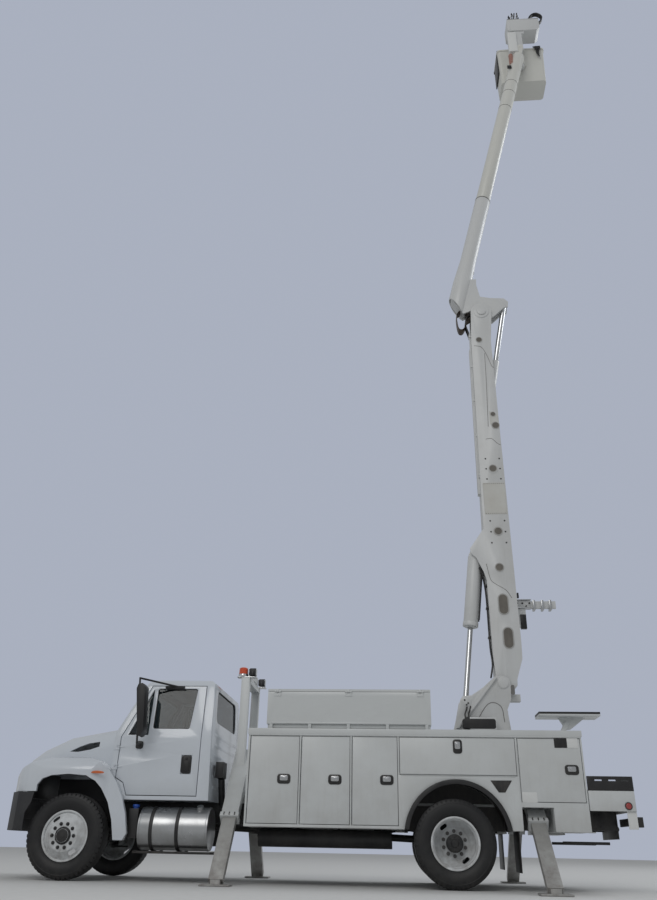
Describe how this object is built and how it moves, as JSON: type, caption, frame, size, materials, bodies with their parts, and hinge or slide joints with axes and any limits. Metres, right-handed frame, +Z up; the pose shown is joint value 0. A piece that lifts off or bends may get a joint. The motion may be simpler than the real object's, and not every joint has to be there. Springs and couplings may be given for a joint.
{
  "type": "bucket truck",
  "caption": "White two-axle utility truck with an articulated bucket boom raised on outriggers",
  "frame": {"origin": "centre of the bounding box on the ground plane", "axes": "+X forward, +Y left, +Z up"},
  "size_m": [9, 4.04, 18.022],
  "materials": {
    "body_white": "satin",
    "cab_white": "gloss",
    "bumper_grey": "satin",
    "chassis_black": "matte",
    "axle_iron": "matte",
    "tyre": "matte",
    "rim_white": "satin",
    "glass": "gloss",
    "lamp_clear": "gloss",
    "lamp_amber": "gloss",
    "aluminium": "brushed",
    "black_plastic": "matte",
    "interior_grey": "matte",
    "galvanised": "worn",
    "chrome": "polished",
    "boom_white": "satin",
    "fibreglass": "satin"
  },
  "bodies": {
    "root": {"cab_glass": "glass", "cab_interior": "interior_grey", "cab_shell": "cab_white", "chassis_fittings": "black_plastic", "deck": "body_white", "engine": "axle_iron", "frame_rails": "chassis_black", "front_axle": "axle_iron", "front_bumper": "bumper_grey", "front_outriggers": "body_white", "fuel_tank": "aluminium", "lamps": "lamp_amber", "pedestal": "body_white", "rear_axle": "axle_iron", "side_pack_left": "body_white", "side_pack_right": "body_white", "toolbox": "body_white"},
    "hood_body": {"hood": "cab_white", "headlamps": "lamp_clear"},
    "turret_body": {"turret": "boom_white"},
    "lower_boom_body": {"lower_boom": "boom_white"},
    "lift_barrel_body": {"lift_barrel": "boom_white"},
    "lift_rod_body": {"lift_rod": "chrome"},
    "fold_rod_body": {"fold_rod": "chrome"},
    "elbow_body": {"elbow_hub": "boom_white"},
    "upper_boom_body": {"upper_boom": "boom_white", "upper_tube": "fibreglass"},
    "head_body": {"boom_head": "boom_white"},
    "bucket_body": {"bucket": "fibreglass"},
    "toolbox_lid_body": {"toolbox_lid": "body_white"},
    "knuckle_body_left": {"knuckle_left": "axle_iron"},
    "front_wheel_left": {"tyre_front_left": "tyre", "rim_front_left": "rim_white"},
    "rear_wheels_left": {"tyre_rear_left": "tyre", "rim_rear_left": "rim_white"},
    "cab_door_body_left": {"cab_door_left": "cab_white", "door_glass_left": "glass", "mirror_left": "black_plastic"},
    "front_leg_left": {"leg_front_left": "galvanised"},
    "rear_leg_left": {"leg_rear_left": "galvanised"},
    "pack_door_body_1_left": {"pack_door_1_left": "body_white"},
    "pack_door_body_2_left": {"pack_door_2_left": "body_white"},
    "pack_door_body_3_left": {"pack_door_3_left": "body_white"},
    "pack_door_body_4_left": {"pack_door_4_left": "body_white"},
    "pack_door_body_5_left": {"pack_door_5_left": "body_white"},
    "knuckle_body_right": {"knuckle_right": "axle_iron"},
    "front_wheel_right": {"tyre_front_right": "tyre", "rim_front_right": "rim_white"},
    "rear_wheels_right": {"tyre_rear_right": "tyre", "rim_rear_right": "rim_white"},
    "cab_door_body_right": {"cab_door_right": "cab_white", "door_glass_right": "glass", "mirror_right": "black_plastic"},
    "front_leg_right": {"leg_front_right": "galvanised"},
    "rear_leg_right": {"leg_rear_right": "galvanised"},
    "pack_door_body_1_right": {"pack_door_1_right": "body_white"},
    "pack_door_body_2_right": {"pack_door_2_right": "body_white"},
    "pack_door_body_3_right": {"pack_door_3_right": "body_white"},
    "pack_door_body_4_right": {"pack_door_4_right": "body_white"},
    "pack_door_body_5_right": {"pack_door_5_right": "body_white"}
  },
  "joints": [
    {"name": "steer_left", "type": "hinge", "parent": "root", "child": "knuckle_body_left", "pos_m": [3.5, 0.82, 0.51], "axis": [0, 0, 1], "range_deg": [-35, 35]},
    {"name": "spin_front_left", "type": "hinge", "parent": "knuckle_body_left", "child": "front_wheel_left", "pos_m": [3.5, 1.02, 0.51], "axis": [0, 1, 0], "continuous": true},
    {"name": "spin_rear_left", "type": "hinge", "parent": "root", "child": "rear_wheels_left", "pos_m": [-1.5, 0.914, 0.51], "axis": [0, 1, 0], "continuous": true},
    {"name": "steer_right", "type": "hinge", "parent": "root", "child": "knuckle_body_right", "pos_m": [3.5, -0.82, 0.51], "axis": [0, 0, 1], "range_deg": [-35, 35]},
    {"name": "spin_front_right", "type": "hinge", "parent": "knuckle_body_right", "child": "front_wheel_right", "pos_m": [3.5, -1.02, 0.51], "axis": [0, 1, 0], "continuous": true},
    {"name": "spin_rear_right", "type": "hinge", "parent": "root", "child": "rear_wheels_right", "pos_m": [-1.5, -0.914, 0.51], "axis": [0, 1, 0], "continuous": true},
    {"name": "hood_tilt", "type": "hinge", "parent": "root", "child": "hood_body", "pos_m": [4.43, 0, 1.03], "axis": [0, 1, 0], "range_deg": [0, 70]},
    {"name": "cab_door_left_hinge", "type": "hinge", "parent": "root", "child": "cab_door_body_left", "pos_m": [2.975, 1.012, 1.5], "axis": [0, 0, -1], "range_deg": [0, 70]},
    {"name": "cab_door_right_hinge", "type": "hinge", "parent": "root", "child": "cab_door_body_right", "pos_m": [2.975, -1.012, 1.5], "axis": [0, 0, 1], "range_deg": [0, 70]},
    {"name": "pack_door_1_left_hinge", "type": "hinge", "parent": "root", "child": "pack_door_body_1_left", "pos_m": [1.116, 1.208, 1.2175], "axis": [0, 0, -1], "range_deg": [0, 90]},
    {"name": "pack_door_2_left_hinge", "type": "hinge", "parent": "root", "child": "pack_door_body_2_left", "pos_m": [0.436, 1.208, 1.2175], "axis": [0, 0, -1], "range_deg": [0, 90]},
    {"name": "pack_door_3_left_hinge", "type": "hinge", "parent": "root", "child": "pack_door_body_3_left", "pos_m": [-0.229, 1.208, 1.2175], "axis": [0, 0, -1], "range_deg": [0, 90]},
    {"name": "pack_door_4_left_hinge", "type": "hinge", "parent": "root", "child": "pack_door_body_4_left", "pos_m": [-1.57, 1.208, 1.304], "axis": [-1, 0, 0], "range_deg": [0, 90]},
    {"name": "pack_door_5_left_hinge", "type": "hinge", "parent": "root", "child": "pack_door_body_5_left", "pos_m": [-2.359, 1.208, 1.365], "axis": [0, 0, -1], "range_deg": [0, 90]},
    {"name": "pack_door_1_right_hinge", "type": "hinge", "parent": "root", "child": "pack_door_body_1_right", "pos_m": [1.116, -1.208, 1.2175], "axis": [0, 0, 1], "range_deg": [0, 90]},
    {"name": "pack_door_2_right_hinge", "type": "hinge", "parent": "root", "child": "pack_door_body_2_right", "pos_m": [0.436, -1.208, 1.2175], "axis": [0, 0, 1], "range_deg": [0, 90]},
    {"name": "pack_door_3_right_hinge", "type": "hinge", "parent": "root", "child": "pack_door_body_3_right", "pos_m": [-0.229, -1.208, 1.2175], "axis": [0, 0, 1], "range_deg": [0, 90]},
    {"name": "pack_door_4_right_hinge", "type": "hinge", "parent": "root", "child": "pack_door_body_4_right", "pos_m": [-1.57, -1.208, 1.304], "axis": [1, 0, 0], "range_deg": [0, 90]},
    {"name": "pack_door_5_right_hinge", "type": "hinge", "parent": "root", "child": "pack_door_body_5_right", "pos_m": [-2.359, -1.208, 1.365], "axis": [0, 0, 1], "range_deg": [0, 90]},
    {"name": "toolbox_lid_hinge", "type": "hinge", "parent": "root", "child": "toolbox_lid_body", "pos_m": [-0.161, 1.212, 2.3175], "axis": [-1, 0, 0], "range_deg": [0, 90]},
    {"name": "outrigger_front_left", "type": "slide", "parent": "root", "child": "front_leg_left", "axis": [0, 0.6369, -0.771], "range_m": [-0.5, 0]},
    {"name": "outrigger_rear_left", "type": "slide", "parent": "root", "child": "rear_leg_left", "axis": [0, 0.7603, -0.6496], "range_m": [-0.6, 0]},
    {"name": "outrigger_front_right", "type": "slide", "parent": "root", "child": "front_leg_right", "axis": [0, -0.6369, -0.771], "range_m": [-0.5, 0]},
    {"name": "outrigger_rear_right", "type": "slide", "parent": "root", "child": "rear_leg_right", "axis": [0, -0.7603, -0.6496], "range_m": [-0.6, 0]},
    {"name": "slew", "type": "hinge", "parent": "root", "child": "turret_body", "pos_m": [-2.03, 0, 1.895], "axis": [0, 0, 1], "continuous": true},
    {"name": "lower_boom_hinge", "type": "hinge", "parent": "turret_body", "child": "lower_boom_body", "pos_m": [-2.36, 0, 2.63], "axis": [0, -1, 0], "range_deg": [-86, 3]},
    {"name": "elbow_level", "type": "hinge", "parent": "lower_boom_body", "child": "elbow_body", "pos_m": [-2.49, 0, 9.33], "axis": [0, -1, 0], "range_deg": [-3, 86]},
    {"name": "upper_boom_hinge", "type": "hinge", "parent": "elbow_body", "child": "upper_boom_body", "pos_m": [-2.49, 0, 9.33], "axis": [0, 1, 0], "range_deg": [-79, 10]},
    {"name": "head_level", "type": "hinge", "parent": "upper_boom_body", "child": "head_body", "pos_m": [-3.85467, 0, 16.7], "axis": [0, 1, 0], "range_deg": [-10, 79]},
    {"name": "bucket_turn", "type": "hinge", "parent": "head_body", "child": "bucket_body", "pos_m": [-3.92, -0.225, 16.7], "axis": [0, 0, -1], "range_deg": [0, 90]},
    {"name": "lift_barrel_hinge", "type": "hinge", "parent": "lower_boom_body", "child": "lift_barrel_body", "pos_m": [-2.1, 0, 4.68], "axis": [0, -1, 0], "range_deg": [-5.41, 0.19]},
    {"name": "lift_rod_slide", "type": "slide", "parent": "lift_barrel_body", "child": "lift_rod_body", "axis": [0.1236, 0, -0.9923], "range_m": [-0.8242, 0.0299]},
    {"name": "fold_rod_slide", "type": "slide", "parent": "lower_boom_body", "child": "fold_rod_body", "axis": [-0.1894, 0, 0.9819], "range_m": [-0.6565, 0.0864]}
  ],
  "couplings": [
    {"joint": "steer_right", "follows": "steer_left", "ratio": 1},
    {"joint": "elbow_level", "follows": "lower_boom_hinge", "ratio": -1},
    {"joint": "head_level", "follows": "upper_boom_hinge", "ratio": -1},
    {"joint": "lift_barrel_hinge", "follows": "lower_boom_hinge", "ratio": 0.06171},
    {"joint": "lift_rod_slide", "follows": "lower_boom_hinge", "m_per_rad": 0.54365},
    {"joint": "fold_rod_slide", "follows": "upper_boom_hinge", "m_per_rad": 0.47142}
  ]
}
